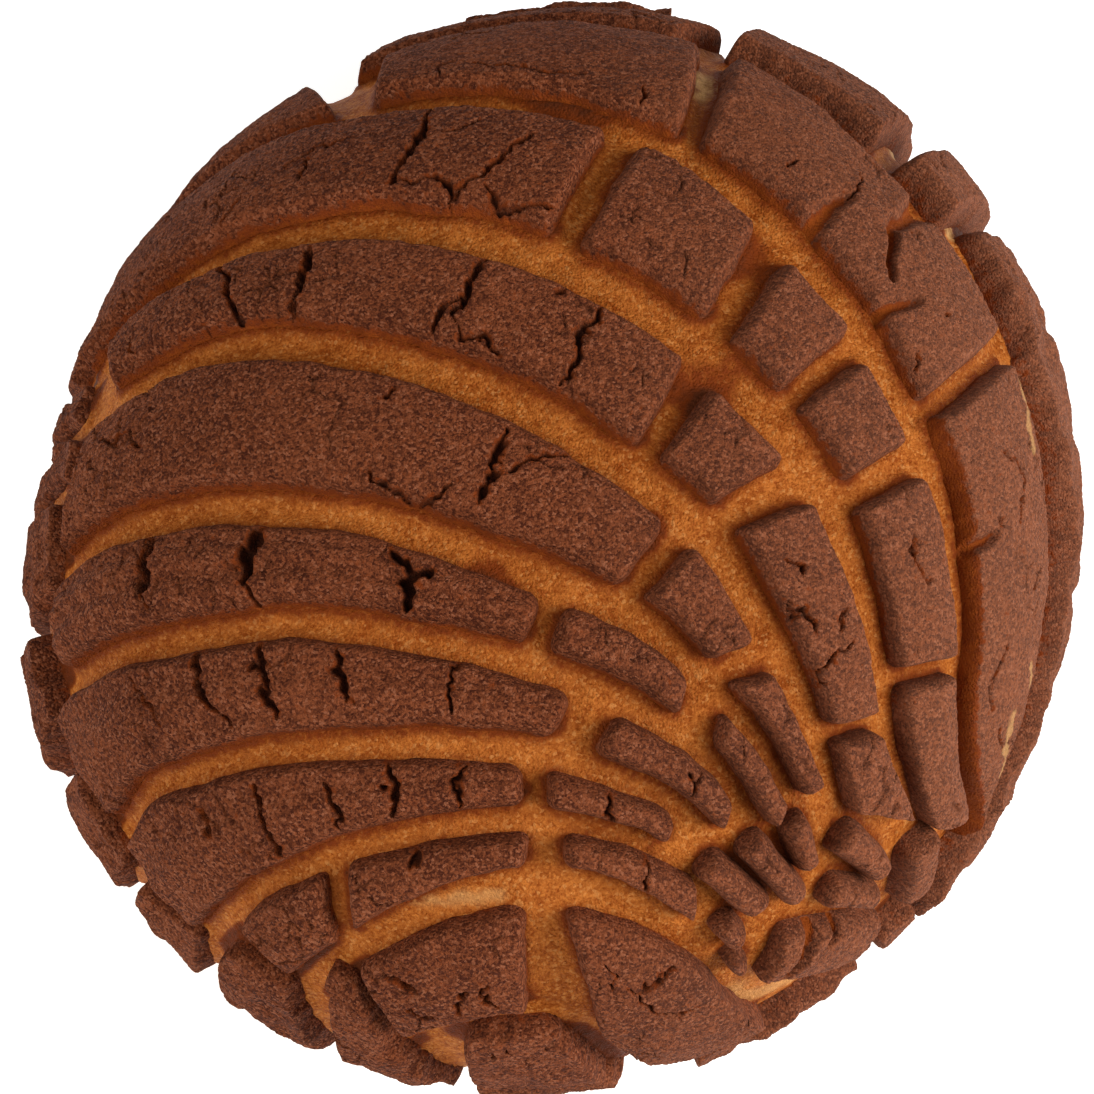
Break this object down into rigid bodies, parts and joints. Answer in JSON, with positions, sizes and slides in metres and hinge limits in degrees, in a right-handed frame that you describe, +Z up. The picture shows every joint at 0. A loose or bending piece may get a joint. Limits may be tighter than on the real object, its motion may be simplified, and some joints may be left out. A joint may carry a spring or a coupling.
{
  "type": "chocolate concha",
  "caption": "Round sweet bread bun under a scored shell of baked cocoa paste, whose curved ribs fan out from one side over the dome.",
  "frame": {"origin": "on the floor, under the middle of the object's box", "axes": "+Z up through the crown, +Y along the longer side of the plan, away from the picture's viewer, +X to the viewer's right, with the hinge of the shell towards +X and -Y"},
  "size_m": [0.107, 0.1154, 0.0527],
  "materials": {
    "bread_crust": "golden brown baked crust, satin, paler towards the foot",
    "cocoa_paste": "dry grainy baked cocoa paste, matt and finely cracked"
  },
  "bodies": {
    "root": {"bread_bun": "bread_crust", "flap_east": "cocoa_paste", "northeast_end": "cocoa_paste", "northeast_side": "cocoa_paste", "back_strip": "cocoa_paste", "northwest_strip": "cocoa_paste", "rib_1_a": "cocoa_paste", "rib_1_b": "cocoa_paste", "rib_1_c": "cocoa_paste", "rib_2_a": "cocoa_paste", "rib_2_b": "cocoa_paste", "rib_2_c": "cocoa_paste", "rib_2_d": "cocoa_paste", "rib_2_e": "cocoa_paste", "rib_2_f": "cocoa_paste", "rib_3_a": "cocoa_paste", "rib_3_b": "cocoa_paste", "rib_3_c": "cocoa_paste", "rib_3_d": "cocoa_paste", "rib_4_a": "cocoa_paste", "rib_4_b": "cocoa_paste", "rib_4_c": "cocoa_paste", "rib_5_a": "cocoa_paste", "rib_5_b": "cocoa_paste", "rib_5_c": "cocoa_paste", "rib_6_a": "cocoa_paste", "rib_6_b": "cocoa_paste", "rib_7_a": "cocoa_paste", "rib_7_b": "cocoa_paste", "rib_8_a": "cocoa_paste", "rib_8_b": "cocoa_paste", "rib_8_c": "cocoa_paste", "south_right": "cocoa_paste", "south_left": "cocoa_paste", "flap_north": "cocoa_paste", "flap_northwest": "cocoa_paste", "flap_west_1": "cocoa_paste", "flap_west_2": "cocoa_paste", "flap_west_3": "cocoa_paste", "flap_west_4": "cocoa_paste", "flap_southwest_1": "cocoa_paste", "flap_southwest_2": "cocoa_paste", "flap_southwest_3": "cocoa_paste", "flap_south_1": "cocoa_paste", "flap_south_2": "cocoa_paste", "flap_southeast_1": "cocoa_paste", "flap_southeast_2": "cocoa_paste", "hinge_crumb_1": "cocoa_paste", "hinge_crumb_2": "cocoa_paste", "hinge_crumb_3": "cocoa_paste", "hinge_crumb_4": "cocoa_paste", "hinge_crumb_5": "cocoa_paste", "hinge_crumb_6": "cocoa_paste", "hinge_crumb_7": "cocoa_paste", "hinge_crumb_8": "cocoa_paste", "hinge_crumb_9": "cocoa_paste"}
  },
  "joints": []
}
